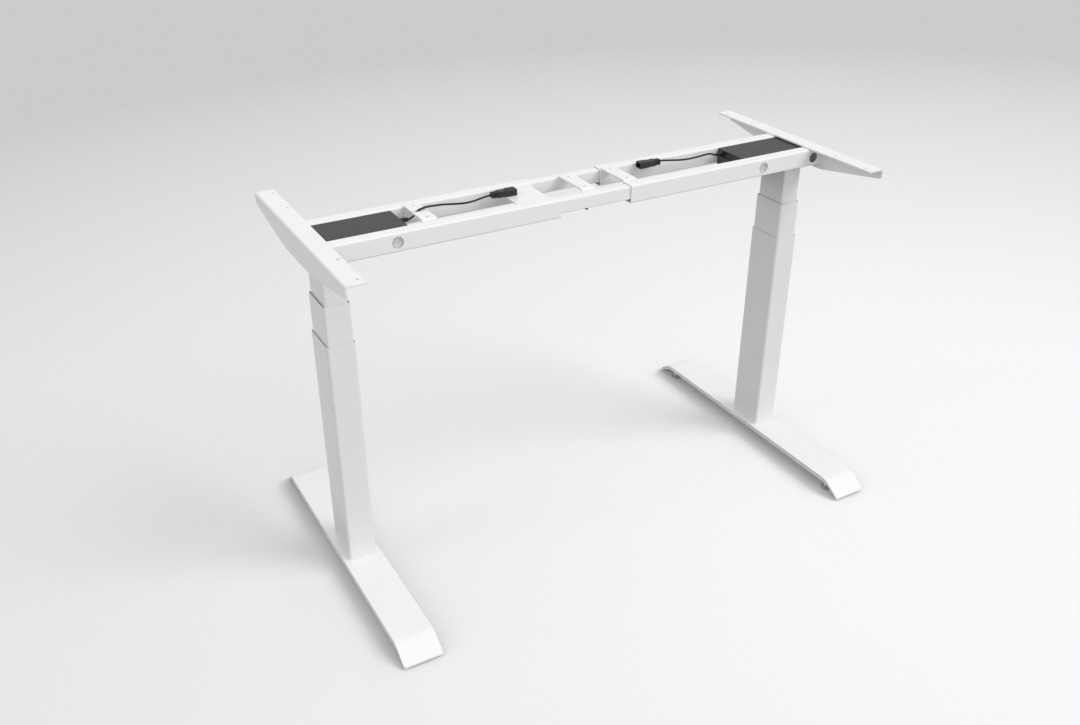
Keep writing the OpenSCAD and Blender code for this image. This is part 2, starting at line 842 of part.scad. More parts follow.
on_side(right) lower_glides();  // right_lower_glides
on_side(right) nut_post();  // right_nut_post
on_side(right) drive_tube();  // right_drive_tube
on_side(right) inner_tube();  // right_inner_tube
on_side(right) upper_glides();  // right_upper_glides
on_side(right) screw();  // right_screw
on_side(right) worm_wheel();  // right_worm_wheel
on_side(right) worm();  // right_worm
on_side(right) motor();  // right_motor
on_side(right) motor_case();  // right_case
on_side(right) case_lid();  // right_case_lid
on_side(right) socket(gland_right_y);  // right_socket
on_side(right) outer_rail(front);  // right_front_rail
on_side(right) outer_rail(rear);  // right_rear_rail
on_side(right) port_plugs();  // right_port_plugs
on_side(right) bridge(plate_right, between);  // right_cross_plate
on_side(right) bracket();  // right_bracket
lead(right_route);  // right_lead
right_connector();
on_side(right) rest_tab();  // right_rest_tab
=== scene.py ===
import math

import bmesh
import bpy
import numpy as np
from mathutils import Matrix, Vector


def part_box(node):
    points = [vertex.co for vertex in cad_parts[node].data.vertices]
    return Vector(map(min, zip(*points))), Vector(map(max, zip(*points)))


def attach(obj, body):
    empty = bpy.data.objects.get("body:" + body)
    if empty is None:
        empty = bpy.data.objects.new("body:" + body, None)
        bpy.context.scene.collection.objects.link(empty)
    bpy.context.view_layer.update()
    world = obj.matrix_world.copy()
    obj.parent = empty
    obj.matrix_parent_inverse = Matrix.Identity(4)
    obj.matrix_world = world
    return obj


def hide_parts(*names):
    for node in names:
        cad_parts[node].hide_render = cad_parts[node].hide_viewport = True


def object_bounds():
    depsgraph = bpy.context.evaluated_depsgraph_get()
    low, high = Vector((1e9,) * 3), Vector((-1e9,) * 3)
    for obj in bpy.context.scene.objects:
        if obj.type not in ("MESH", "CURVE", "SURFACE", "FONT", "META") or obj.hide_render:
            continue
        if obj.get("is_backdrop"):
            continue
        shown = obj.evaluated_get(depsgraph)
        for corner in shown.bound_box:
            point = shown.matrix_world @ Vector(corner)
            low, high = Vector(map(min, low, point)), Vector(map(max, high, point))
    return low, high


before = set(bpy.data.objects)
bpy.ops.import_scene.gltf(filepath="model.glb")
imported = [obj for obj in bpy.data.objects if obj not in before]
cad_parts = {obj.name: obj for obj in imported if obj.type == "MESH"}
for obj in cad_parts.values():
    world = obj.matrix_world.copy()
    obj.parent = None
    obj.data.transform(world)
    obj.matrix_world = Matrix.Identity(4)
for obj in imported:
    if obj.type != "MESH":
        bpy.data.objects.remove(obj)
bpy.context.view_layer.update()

# Camera
# It stands in front of the left leg, above the beam, and looks down along it to the right leg.
# Its place and lens were found from the straight edges of the feet and the beam. The place is in metres,
# the angles are in radians and the lens is in millimetres.
camera_place = (-1.0608, -1.7258, 1.4584)
camera_turn = 0.5135
camera_dip = 0.5085
camera_lens = 35.245
camera_sensor = 36.0
camera = bpy.data.objects.new("photo_camera", bpy.data.cameras.new("photo_camera"))
camera.location = camera_place
camera.rotation_euler = (math.pi / 2 - camera_dip, 0, -camera_turn)
camera.data.lens = camera_lens
camera.data.sensor_width = camera_sensor
camera.data.sensor_fit = "HORIZONTAL"
bpy.context.scene.collection.objects.link(camera)
bpy.context.scene.camera = camera

# Motor leads
# Each column's motor has a short round lead of black PVC over stranded copper. It leaves the motor
# case through a gland, lies loose over the beam's plates and ends in a moulded connector.
mm = 0.001
lead_width = 4.0 * mm
# Each route's points are in millimetres, the same as the solids' own.
lead_routes = {
    "left": [
        (-367.5, 3, 734), (-364.5, 3, 734), (-356.3, 2.5, 738.5), (-351.3, 2, 743.5), (-346.3, 2, 748),
        (-339.3, 3, 749.6), (-328.3, 7, 749.6), (-314.3, 9, 748.5), (-290, 13, 745.5), (-265, 13, 742),
        (-245, 13, 740), (-225, 16, 739.5), (-207, 20, 740.5), (-191.5, 21.5, 742), (-185.5, 21.5, 742)],
    "right": [
        (367.5, 26, 734), (364.5, 26, 734), (355.5, 25, 737.5), (345.5, 24, 740), (333.5, 24, 739.5),
        (320, 24, 738.5), (295, 25, 737), (270, 26, 738), (247, 28, 740.5), (228, 30, 742.5),
        (219, 30, 742.5)]}


def linear(hex_colour):
    """sRGB hex digits as linear red, green, blue and an alpha of 1."""
    share = np.array([int(hex_colour[i:i + 2], 16) for i in (0, 2, 4)]) / 255
    straight = np.where(share <= 0.04045, share / 12.92, ((share + 0.055) / 1.055) ** 2.4)
    return (*straight.tolist(), 1.0)


def add_node(tree, kind, inputs, **settings):
    """Adds one shader node; an input is a value for a socket or another node's output to link to it."""
    made = tree.nodes.new(kind)
    for name, value in settings.items():
        setattr(made, name, value)
    for socket, value in inputs.items():
        if isinstance(value, bpy.types.NodeSocket):
            tree.links.new(value, made.inputs[socket])
        else:
            made.inputs[socket].default_value = value
    return made


# Places of a colour mix's two inputs and of its output among the node's sockets.
mix_first = 6
mix_second = 7
mix_result = 2
# Most of a noise's values lie in this span.
noise_span = (0.3, 0.7)


def surface_finish(name, colours, roughness, mottle, grain, relief, **sockets):
    """A material with two noises on the object's own coordinates: patches of the mottle size drift
    between two colours, and a finer grain drifts between two roughnesses and stands up by the relief.
    Sizes are in metres."""
    made = bpy.data.materials.new(name)
    made.use_nodes = True
    tree = made.node_tree
    shader = tree.nodes["Principled BSDF"]
    place = add_node(tree, "ShaderNodeTexCoord", {}).outputs["Object"]
    patches = add_node(tree, "ShaderNodeTexNoise", {"Vector": place, "Scale": 1 / mottle, "Detail": 3.0})
    grains = add_node(tree, "ShaderNodeTexNoise", {"Vector": place, "Scale": 1 / grain, "Detail": 2.0})
    tint = add_node(tree, "ShaderNodeMix", {
        "Factor": patches.outputs["Fac"], mix_first: linear(colours[0]), mix_second: linear(colours[1])},
        data_type="RGBA")
    dull = add_node(tree, "ShaderNodeMapRange", {
        "Value": grains.outputs["Fac"], "From Min": noise_span[0], "From Max": noise_span[1],
        "To Min": roughness[0], "To Max": roughness[1]})
    bump = add_node(tree, "ShaderNodeBump", {"Height": grains.outputs["Fac"], "Distance": relief})
    tree.links.new(tint.outputs[mix_result], shader.inputs["Base Color"])
    tree.links.new(dull.outputs["Result"], shader.inputs["Roughness"])
    tree.links.new(bump.outputs["Normal"], shader.inputs["Normal"])
    for socket, value in sockets.items():
        shader.inputs[socket.replace("_", " ")].default_value = value
    return made


def grid_faces(around, along, first):
    """Corner numbers of the quads between neighbours of an around x along grid of points."""
    corner = first + np.arange((around - 1) * along).reshape(around - 1, along)[:, :-1]
    return np.stack([corner, corner + along, corner + along + 1, corner + 1], -1).reshape(-1, 4)


def join_grids(grids):
    """Several grids of points as one list of points and one list of quads."""
    firsts = np.cumsum([0] + [grid.shape[0] * grid.shape[1] for grid in grids])
    points = np.vstack([grid.reshape(-1, 3) for grid in grids])
    faces = np.vstack([grid_faces(*grid.shape[:2], first) for grid, first in zip(grids, firsts)])
    return points, faces


merge_distance = 0.001 * mm
edge_segments = 2


def add_piece(name, shape, material, body, stands_for, wall=0.0, edge=0.0, crisp=40):
    """Puts points and quads into a mesh and merges doubled points at seams and poles. A wall gives a
    sheet its thickness inwards, edge rounds its cut edges, and turns above the crisp angle stay sharp.
    A piece that only adds to another stands for no node."""
    points, faces = shape
    mesh = bpy.data.meshes.new(name)
    mesh.from_pydata(points.tolist(), [], faces.tolist())
    shell = bmesh.new()
    shell.from_mesh(mesh)
    bmesh.ops.remove_doubles(shell, verts=shell.verts, dist=merge_distance)
    shell.to_mesh(mesh)
    shell.free()
    mesh.shade_smooth()
    mesh.set_sharp_from_angle(angle=math.radians(crisp))
    mesh.materials.append(material)
    made = bpy.data.objects.new(name, mesh)
    bpy.context.scene.collection.objects.link(made)
    if wall:
        thickness = made.modifiers.new("wall", "SOLIDIFY")
        thickness.thickness = wall
        thickness.offset = -1
        thickness.use_even_offset = True
        thickness.use_quality_normals = True
    if edge:
        rounding = made.modifiers.new("edge", "BEVEL")
        rounding.width = edge
        rounding.segments = edge_segments
        rounding.limit_method = "ANGLE"
        rounding.angle_limit = math.radians(crisp)
        rounding.use_clamp_overlap = True
    flats = made.modifiers.new("flats", "WEIGHTED_NORMAL")
    flats.keep_sharp = True
    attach(made, body)
    if stands_for:
        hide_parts(stands_for)
    return made


def smooth_route(points, steps=10):
    """Curve through all points: between two of them a cubic whose slope at each is half the step from
    the point before to the point after. The first and the last point count twice."""
    knots = np.array(points, float) * mm
    knots = np.vstack([knots[0], knots, knots[-1]])
    before, start, end, after = (knots[i:len(knots) - 3 + i, None] for i in range(4))
    share = np.linspace(0, 1, steps, endpoint=False)[:, None]
    slope = end - before
    square = 2 * before - 5 * start + 4 * end - after
    cube = 3 * (start - end) + after - before
    curve = start + 0.5 * share * (slope + share * (square + share * cube))
    return np.vstack([curve.reshape(-1, 3), knots[-1]])


def round_tube(path, radius, around=20):
    """A circle carried along a path: its plane is square to the path, with one axis kept level, and
    both ends close in a point at the middle."""
    ahead = np.gradient(path, axis=0)
    ahead /= np.linalg.norm(ahead, axis=1, keepdims=True)
    level = np.cross(ahead, (0, 0, 1))
    level /= np.linalg.norm(level, axis=1, keepdims=True)
    up = np.cross(level, ahead)
    angle = np.linspace(0, 2 * np.pi, around + 1)[:, None, None]
    rings = path + radius * (np.cos(angle) * -level + np.sin(angle) * up)
    ends = [np.broadcast_to(path[i], (around + 1, 1, 3)) for i in (0, -1)]
    return np.concatenate([ends[0], rings, ends[1]], axis=1)


# Extruded PVC sheath: even black with a soft sheen; the drawn skin is finer than the render can show,
# so its grain is drawn at 3 mm.
pvc_sheath = surface_finish(
    "extruded_pvc_sheath", ("0f0f0f", "171718"), roughness=(0.40, 0.52),
    mottle=30 * mm, grain=3 * mm, relief=0.02 * mm, IOR=1.52)
lead_paths = {}
for side, route in lead_routes.items():
    lead_paths[side] = smooth_route(route)
    add_piece(
        f"{side}_motor_lead", join_grids([round_tube(lead_paths[side], lead_width / 2)]),
        pvc_sheath, f"{side}_top", f"{side}_lead")

# Connectors
# Two-part plugs moulded in black glass-filled nylon at the leads' ends: a square body with an open
# mouth and its contacts, tapering back to a collar with four grip ribs around the lead.
plug_length = 40 * mm
plug_half = np.array([9.0, 6.5]) * mm
plug_corner = 0.6 * mm
plug_edge = 0.25 * mm
plug_soft = 0.5 * mm
taper_length = 16 * mm
taper_end_half = plug_half - 0.8 * mm
body_start = 22 * mm
collar_length = 14 * mm
collar_half = np.array([6.5, 5.5]) * mm
collar_back_half = np.array([4.0, 3.4]) * mm
collar_flare_half = np.array([4.6, 3.9]) * mm
shoulder_rise = 0.4 * mm
rib_count = 4
rib_margins = (1.5 * mm, 2.5 * mm)
rib_width = 2.0 * mm
rib_slope = 0.3 * mm
rib_rise = 1.0 * mm
mouth_wall = 2.2 * mm
mouth_depth = 9 * mm
pin_half = 0.6 * mm
pin_length = 6 * mm
pin_point = 0.4 * mm
pin_rows = (-1.6 * mm, 1.6 * mm)
pin_columns = (-3.6 * mm, 0, 3.6 * mm)
latch_half = 2.4 * mm
latch_rise = 0.5 * mm
latch_places = np.array([-24.0, -24.0, -22.5, -6.0, -4.0, -4.0]) * mm


def rounded_loops(half_a, half_b, radius, arc_steps=5, along_a=(), along_b=()):
    """Rounded rectangles in a plane, each anticlockwise from its +a side and back to the start: a
    quarter circle at each corner, and the given shares of the straight sides between them. The sizes
    may be rows, one for each loop, so the result is around x loops x 2."""
    half_a, half_b, radius = np.broadcast_arrays(
        *(np.atleast_1d(np.asarray(v, float))[None, :] for v in (half_a, half_b, radius)))
    straight_a = half_a - radius
    straight_b = half_b - radius
    share_a = np.asarray(along_a, float)[:, None]
    share_b = np.asarray(along_b, float)[:, None]
    quarter = np.linspace(0, np.pi / 2, arc_steps + 1)[:, None]
    parts = []
    for turn, (to_a, to_b) in enumerate(((1, 1), (-1, 1), (-1, -1), (1, -1))):
        if turn % 2 == 0:
            parts.append((to_a * half_a + 0 * share_b, to_a * share_b * straight_b))
        else:
            parts.append((to_a * share_a * straight_a, to_b * half_b + 0 * share_a))
        angle = quarter + turn * np.pi / 2
        arc_a = to_a * straight_a + radius * np.cos(angle)
        arc_b = to_b * straight_b + radius * np.sin(angle)
        parts.append((arc_a, arc_b))
    loops = np.stack([np.vstack(places) for places in zip(*parts)], -1)
    return np.concatenate([loops, loops[:1]], axis=0)


def lofted_along_x(place, half_y, half_z, radius, centre):
    """Rounded rectangles strung along x: one loop at each place, closed where its half sizes are 0."""
    loops = rounded_loops(half_y, half_z, radius)
    x = np.broadcast_to(np.asarray(place, float), loops.shape[:2])
    return np.concatenate([x[..., None], loops], -1) + np.asarray(centre)


def connector_shape():
    """Half sizes at each place along the plug, from the lead to the mouth and back into it. Ribs are
    raised loops on the collar, the body widens to the mouth, and the mouth is a hollow with its floor
    behind. The rim's corners are drawn as short slopes. Rows of contacts stand on the mouth's floor, and
    a flat latch lies on the body."""
    back = -(plug_length + collar_length)
    root_half = collar_half - rib_rise
    shoulder_half = collar_half + shoulder_rise
    mouth_half = plug_half - mouth_wall
    rows = [(back, 0, 0), (back, *collar_back_half), (back + plug_soft, *collar_flare_half)]
    for start in np.linspace(back + rib_margins[0], -plug_length - rib_margins[1], rib_count):
        rows.append((start, *root_half))
        rows.append((start + rib_slope, *collar_half))
        rows.append((start + rib_width - rib_slope, *collar_half))
        rows.append((start + rib_width, *root_half))
    rows.append((-plug_length - plug_soft, *root_half))
    rows.append((-plug_length, *shoulder_half))
    rows.append((-plug_length + plug_soft, *(shoulder_half + plug_soft)))
    rows.append((-plug_length + taper_length, *taper_end_half))
    rows.append((-plug_length + body_start, *plug_half))
    rows.append((-plug_soft, *plug_half))
    rows.append((0.0, *(plug_half - plug_soft)))
    rows.append((0.0, *(mouth_half + plug_soft)))
    rows.append((-plug_soft, *mouth_half))
    rows.append((-mouth_depth, *mouth_half))
    rows.append((-mouth_depth, 0, 0))
    x, half_y, half_z = np.array(rows, float).T
    radius = np.minimum(plug_corner, np.minimum(half_y, half_z))
    grids = [lofted_along_x(x, half_y, half_z, radius, (0, 0, 0))]
    pin_x = np.array([0, 0, pin_length - pin_point, pin_length, pin_length]) - mouth_depth
    pin_size = np.array([0, 1, 1, 0.4, 0]) * pin_half
    for row in pin_rows:
        for column in pin_columns:
            grids.append(lofted_along_x(pin_x, pin_size, pin_size, 0.3 * pin_size, (0, column, row)))
    latch_y = np.array([0, 1, 1, 1, 1, 0]) * latch_half
    latch_z = np.array([0, 0.2, 1, 1, 0.4, 0]) * latch_rise
    grids.append(lofted_along_x(latch_places, latch_y, latch_z, 0.5 * latch_z, (0, 0, plug_half[1])))
    return grids


def mirrored(grids):
    """The same grids on the other side of the middle plane, with their faces kept outward."""
    return [grid[::-1] * (-1, 1, 1) for grid in grids]


# Glass-filled nylon out of a fine-sparked mould: dull black with a faint grain, 1.5 mm so that it shows.
filled_nylon = surface_finish(
    "moulded_filled_nylon", ("19191a", "222223"), roughness=(0.42, 0.55),
    mottle=12 * mm, grain=1.5 * mm, relief=0.03 * mm, IOR=1.53)
for side in ("left", "right"):
    low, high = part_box(f"{side}_connector")
    axis_y = (low.y + high.y) / 2
    axis_z = (low.z + high.z) / 2
    if side == "left":
        grids = connector_shape()
        mouth = high.x
    else:
        grids = mirrored(connector_shape())
        mouth = low.x
    placed = [grid + (mouth, axis_y, axis_z) for grid in grids]
    add_piece(
        f"{side}_lead_connector", join_grids(placed), filled_nylon, f"{side}_top",
        f"{side}_connector", edge=plug_edge)

# Feet
# Each foot is one pressing of 2.5 mm steel: a flat top with a turned-down rim, cut back under the top
# with one raised bead around it, and tips that slope down to the floor. Powder coated white.
foot_sheet = 2.5 * mm
foot_tip = 39.5 * mm
foot_tip_height = 8 * mm
foot_tip_rim = 5 * mm
foot_rim = 13 * mm
foot_bead = 0.8 * mm
foot_groove = 5 * mm
foot_corner = 6 * mm
foot_edge = 1 * mm
foot_bend = 7 * mm
foot_fade = 21 * mm

# Polyester powder coat, white, semi-gloss: an even film with a soft orange peel. The peel's waves are
# about 2 mm long; they are drawn at 4 mm so that they show.
white_powder = surface_finish(
    "white_powder_coat", ("f0f0f0", "f4f4f4"), roughness=(0.11, 0.17),
    mottle=90 * mm, grain=4 * mm, relief=0.02 * mm, IOR=1.5)


def pressed_foot(low, high):
    """Loops round the foot's plan: from the underside's middle line out to the rim's inner wall and down
    it, up the outside over the bead, round the top edge and back to the middle line. A loop is the plan
    moved in by its inset; a point's height is the side view's top line at its y, less the sheet on the
    underside, less the loop's share of the rim's depth there. The bead fades out towards the tips."""
    half_x = (high.x - low.x) / 2 - foot_bead
    half_y = (high.y - low.y) / 2
    flat = half_y - foot_tip
    slope = (high.z - foot_tip_height) / foot_tip
    turn = np.linspace(0, np.pi / 2, 7)
    wall = foot_groove + foot_sheet
    inward = np.linspace(wall + foot_edge, half_x, 8)
    rim_inset, rim_share = np.array([
        (foot_groove, 1), (foot_groove, 0.7), (-foot_bead / 2, 0.68), (-foot_bead, 0.66),
        (-foot_bead, 0.52), (-foot_bead / 2, 0.5), (foot_groove, 0.48), (foot_groove, 0.11), (0, 0.09)]).T
    inset = np.concatenate([
        inward[::-1], [wall, wall], rim_inset, foot_edge * (1 - np.cos(turn)), inward])
    share = np.concatenate([
        0 * inward, [0, 1], rim_share, foot_edge / foot_rim * (1 - np.sin(turn)), 0 * inward])
    sheet = np.where(np.arange(len(inset)) <= len(inward), foot_sheet, 0)
    along = np.sin(np.linspace(-1, 1, 121)[1:-1] * np.pi / 2)
    corner = np.clip(foot_corner - inset, 0, None)
    across = np.linspace(-1, 1, 5)[1:-1]
    loops = rounded_loops(
        half_x - inset, half_y - inset, corner, arc_steps=6, along_a=across, along_b=along)
    x, y = loops[..., 0], loops[..., 1]
    past = np.abs(y) - flat
    top = high.z - slope * (past + np.sqrt(past ** 2 + foot_bend ** 2)) / 2
    rim = foot_rim + (foot_tip_rim - foot_rim) * np.clip(past / foot_tip, 0, 1)
    bead_fade = np.clip(-past / foot_fade, 0, 1)
    x = np.clip(x, -half_x - foot_bead * bead_fade, half_x + foot_bead * bead_fade)
    y = np.clip(y, -half_y, half_y)
    z = top - sheet - share * rim
    return np.stack([x + (low.x + high.x) / 2, y, z], -1)


for side in ("left", "right"):
    add_piece(
        f"{side}_pressed_foot", join_grids([pressed_foot(*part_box(f"{side}_foot"))]), white_powder,
        f"{side}_base", f"{side}_foot", crisp=50)

# Levellers
# Four under each foot: a moulded grey pad with a scalloped rim on a zinc-plated M8 stud, which screws
# into a hexagonal nut welded under the sheet.
pad_radius = 10 * mm
pad_height = 8 * mm
stud_radius = 4 * mm
stud_pitch = 1.25 * mm
weld_nut_radius = 7.5 * mm
weld_nut_height = 6 * mm
weld_nut_soft = 0.5 * mm
stud_thread = 0.4 * mm
scallops = 20
scallop_depth = 0.06 * pad_radius


def turned(profile, centre, axis, around=32, ripple=None):
    """A profile of (radius, height) rows turned about an axis through the centre, along x, y or z. The
    ripple is a function of angle, radius and height that gives each point's own radius."""
    profile = np.asarray(profile, float)
    angle = np.linspace(0, 2 * np.pi, around + 1)[:, None]
    radius = np.broadcast_to(profile[:, 0], (around + 1, len(profile)))
    height = np.broadcast_to(profile[:, 1], radius.shape)
    if ripple is not None:
        radius = ripple(angle, radius, height)
    sweep = [radius * np.cos(angle), radius * np.sin(angle), height]
    order = {"x": (2, 0, 1), "y": (1, 2, 0), "z": (0, 1, 2)}[axis]
    return np.stack([sweep[i] for i in order], -1) + np.asarray(centre)


def hexagon(angle, radius, height):
    """Radius of a hexagon with its corners at the given radius."""
    sixth = np.pi / 3
    return radius * np.cos(sixth / 2) / np.cos(np.mod(angle, sixth) - sixth / 2)


def thread(radius, pitch, depth):
    """Ripple of a screw thread: the radius falls to the root and back once each pitch, as a triangle
    wave of height that moves up by one pitch in each turn; points off the thread's radius stay."""
    def ripple(angle, at, height):
        turn = np.mod(height / pitch - angle / (2 * np.pi), 1.0)
        cut = depth * (1 - np.abs(2 * turn - 1))
        return np.where(np.isclose(at, radius), at - cut, at)
    return ripple


def threaded_rows(radius, low, high, pitch, each_turn=6):
    """Profile rows along a thread, from low to high, with the middle closed at both ends."""
    height = np.linspace(low, high, int(round((high - low) / pitch * each_turn)) + 1)
    rows = np.stack([np.full(len(height), radius), height], -1)
    return np.vstack([(0, low), rows, (0, high)])


def scalloped(angle, radius, height):
    """Radius of the pad's rim with a shallow finger groove at each scallop; smaller radii stay."""
    groove = scallop_depth / 2 * (1 + np.cos(scallops * angle))
    return np.where(np.isclose(radius, pad_radius), radius - groove, radius)


def levelling_pad(x, y):
    """Half section of the pad, from the middle of its sole out, up the rim and in over the boss, in
    shares of its radius and height."""
    rows = [(0, 0), (0.86, 0), (1, 0.12), (1, 0.6), (0.92, 0.75), (0.6, 0.85), (0.55, 1), (0, 1)]
    profile = np.array(rows) * (pad_radius, pad_height)
    return turned(profile, (x, y, 0), "z", around=4 * scallops, ripple=scalloped)


def stud_and_nut(x, y, top):
    """The threaded stud from the pad up into a nut, whose section is a hexagon with broken edges."""
    wide = weld_nut_radius
    low = top - weld_nut_height
    soft = weld_nut_soft
    nut = [
        (0, low), (wide - soft, low), (wide, low + soft), (wide, top - soft), (wide - soft, top), (0, top)]
    stud = threaded_rows(stud_radius, pad_height, low, stud_pitch)
    cut = thread(stud_radius, stud_pitch, stud_thread)
    return [
        turned(stud, (x, y, 0), "z", around=24, ripple=cut),
        turned(nut, (x, y, 0), "z", around=24, ripple=hexagon)]


# Low-density polyethylene, moulded: waxy pale grey.
grey_polyethylene = surface_finish(
    "moulded_grey_polyethylene", ("a3a4a5", "b4b5b6"), roughness=(0.38, 0.5),
    mottle=9 * mm, grain=1.2 * mm, relief=0.02 * mm, IOR=1.51)
# Zinc-plated steel: bright bluish grey, a little cloudy.
zinc_plate = surface_finish(
    "zinc_plated_steel", ("b2b5b8", "c3c6c8"), roughness=(0.28, 0.4),
    mottle=6 * mm, grain=0.8 * mm, relief=0.01 * mm, Metallic=1.0)
for side in ("left", "right"):
    low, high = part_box(f"{side}_levellers")
    axes_x = (low.x + pad_radius, high.x - pad_radius)
    axes_y = (low.y + pad_radius, high.y - pad_radius)
    corners = [(x, y) for x in axes_x for y in axes_y]
    add_piece(
        f"{side}_levelling_pads", join_grids([levelling_pad(x, y) for x, y in corners]),
        grey_polyethylene, f"{side}_base", f"{side}_levellers", crisp=35)
    studs = [grid for x, y in corners for grid in stud_and_nut(x, y, high.z)]
    add_piece(
        f"{side}_leveller_studs", join_grids(studs), zinc_plate, f"{side}_base", None, crisp=35)

# Lifting columns
# Three nested rectangular steel tubes, 1.8 mm thick, cut square and powder coated white. Each smaller
# tube stands out of the one below it; the mouths are reamed to a slope so that the glides go in.
tube_wall = 1.8 * mm
tube_edge = 0.3 * mm
tube_lip = 0.3 * mm
mouth_slope = 6 * mm

# The same powder coat on the drawn tubes, a shade greyer than on the beam and the feet.
tube_coat = surface_finish(
    "white_powder_coat_on_tube", ("e7e7e8", "ebebec"), roughness=(0.11, 0.17),
    mottle=90 * mm, grain=4 * mm, relief=0.02 * mm, IOR=1.5)

tube_corners = {"outer": 5 * mm, "middle": 4 * mm, "inner": 3.5 * mm}
tube_bodies = {"outer": "base", "middle": "middle", "inner": "top"}


def square_tube(low, high, corner):
    """Rounded rectangles round the leg's axis, each the outline moved in by its inset: up the outside,
    over the narrow lip, down the slope and the inside, and back under to the start."""
    inset = np.array([0, 0, tube_edge, tube_edge + tube_lip, tube_wall, tube_wall, 0])
    z = np.array([low.z, high.z - tube_edge, high.z, high.z, high.z - mouth_slope, low.z, low.z])
    half_x = (high.x - low.x) / 2 - inset
    half_y = (high.y - low.y) / 2 - inset
    loops = rounded_loops(half_x, half_y, corner - inset, arc_steps=8)
    height = np.broadcast_to(z, loops.shape[:2])
    middle = ((low.x + high.x) / 2, (low.y + high.y) / 2, 0)
    return np.concatenate([loops, height[..., None]], -1) + middle


for side in ("left", "right"):
    for stage, corner in tube_corners.items():
        grid = square_tube(*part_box(f"{side}_{stage}_tube"), corner)
        add_piece(
            f"{side}_{stage}_column", join_grids([grid]), tube_coat, f"{side}_{tube_bodies[stage]}",
            f"{side}_{stage}_tube", crisp=30)

# Column fixings and spindle drive
# Inside each column: a base plate and its bolts, a fixed rod, a hexagonal drive tube, a nut post and a
# hollow screw, all bright steel, with acetal glides between the tubes. A small motor turns the screw
# through a worm and a bronze worm wheel.
inner_edge = 0.2 * mm


def dress(node, material, edge=0.3 * mm, crisp=40):
    """Gives a solid that is shown as drawn its material, joined faces and softened edges."""
    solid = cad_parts[node]
    solid.data.materials.clear()
    solid.data.materials.append(material)
    joined = solid.modifiers.new("joined", "WELD")
    joined.merge_threshold = merge_distance
    rounding = solid.modifiers.new("edge", "BEVEL")
    rounding.width = edge
    rounding.segments = edge_segments
    rounding.limit_method = "ANGLE"
    rounding.angle_limit = math.radians(crisp)
    flats = solid.modifiers.new("flats", "WEIGHTED_NORMAL")
    flats.keep_sharp = True


# Turned free-cutting steel: bright, with fine tool marks drawn at 1 mm.
turned_steel = surface_finish(
    "turned_bright_steel", ("b4b6b9", "c6c8ca"), roughness=(0.24, 0.38),
    mottle=25 * mm, grain=1 * mm, relief=0.01 * mm, Metallic=1.0)
# Acetal, moulded: smooth and milky white.
milky_acetal = surface_finish(
    "moulded_acetal", ("e2e1dc", "eae9e5"), roughness=(0.3, 0.4),
    mottle=15 * mm, grain=1.5 * mm, relief=0.01 * mm, IOR=1.48)
# Tin bronze, cast and machined: warm yellow-brown.
tin_bronze = surface_finish(
    "machined_tin_bronze", ("a9834a", "bd9759"), roughness=(0.28, 0.42),
    mottle=12 * mm, grain=1 * mm, relief=0.01 * mm, Metallic=1.0)
# Drawn and lacquered steel can of the motor: dark grey, smooth.
lacquered_can = surface_finish(
    "lacquered_motor_can", ("4b4c4e", "57585a"), roughness=(0.3, 0.42),
    mottle=20 * mm, grain=1.5 * mm, relief=0.01 * mm, Metallic=0.6)
inner_finishes = {
    "column_plate": turned_steel, "column_bolts": turned_steel, "fixed_rod": turned_steel,
    "middle_end": turned_steel, "nut_post": turned_steel, "drive_tube": turned_steel,
    "screw": turned_steel, "worm": turned_steel, "worm_wheel": tin_bronze, "motor": lacquered_can,
    "lower_glides": milky_acetal, "upper_glides": milky_acetal}
for side in ("left", "right"):
    for piece, material in inner_finishes.items():
        dress(f"{side}_{piece}", material, inner_edge)

# Motor cases
# A folded steel box between the rails, tall over the motor and low over the leg, with a flat lid. Both
# are dark grey with a fine matt texture; a black socket block in the end wall holds the lead's gland.
case_edge = 0.8 * mm
lid_corner = 2.5 * mm
lid_soft = 0.5 * mm
socket_thick = 6 * mm
socket_corner = 1.5 * mm
socket_soft = 0.5 * mm
socket_rim = 2.0 * mm
panel_depth = 0.8 * mm
panel_slope = 0.3 * mm
gland_radius = 4.5 * mm
gland_root = 1.5 * mm
gland_groove = 0.6 * mm
gland_slope = 0.3 * mm
gland_ring = 2.3 * mm
gland_rings = 4
ring_margins = (3.0 * mm, 4.5 * mm)
gland_lip = 1.2 * mm
bore_play = 0.15 * mm
bore_lip = (0.6 * mm, 0.4 * mm)
bore_depth = 1.0 * mm

# Texture powder coat, dark grey and matt; its grit is about 0.4 mm, drawn at 1.5 mm so that it shows.
dark_texture = surface_finish(
    "dark_texture_coat", ("3c3c3d", "444445"), roughness=(0.52, 0.66),
    mottle=40 * mm, grain=1.5 * mm, relief=0.05 * mm, IOR=1.45)


def flat_lid(low, high):
    """Loops of the lid's plan, from the middle of its underside out, up its side and in over the top."""
    half_x = (high.x - low.x) / 2
    half_y = (high.y - low.y) / 2
    soft = lid_soft
    inset = np.array([half_x, soft, 0, 0, soft, half_x])
    z = np.array([low.z, low.z, low.z + soft, high.z - soft, high.z, high.z])
    shrunk = np.clip(half_y - inset, 0, None)
    loops = rounded_loops(half_x - inset, shrunk, np.where(inset > lid_corner, 0, lid_corner - inset))
    height = np.broadcast_to(z, loops.shape[:2])
    return np.concatenate([loops, height[..., None]], -1) + ((low.x + high.x) / 2, 0, 0)


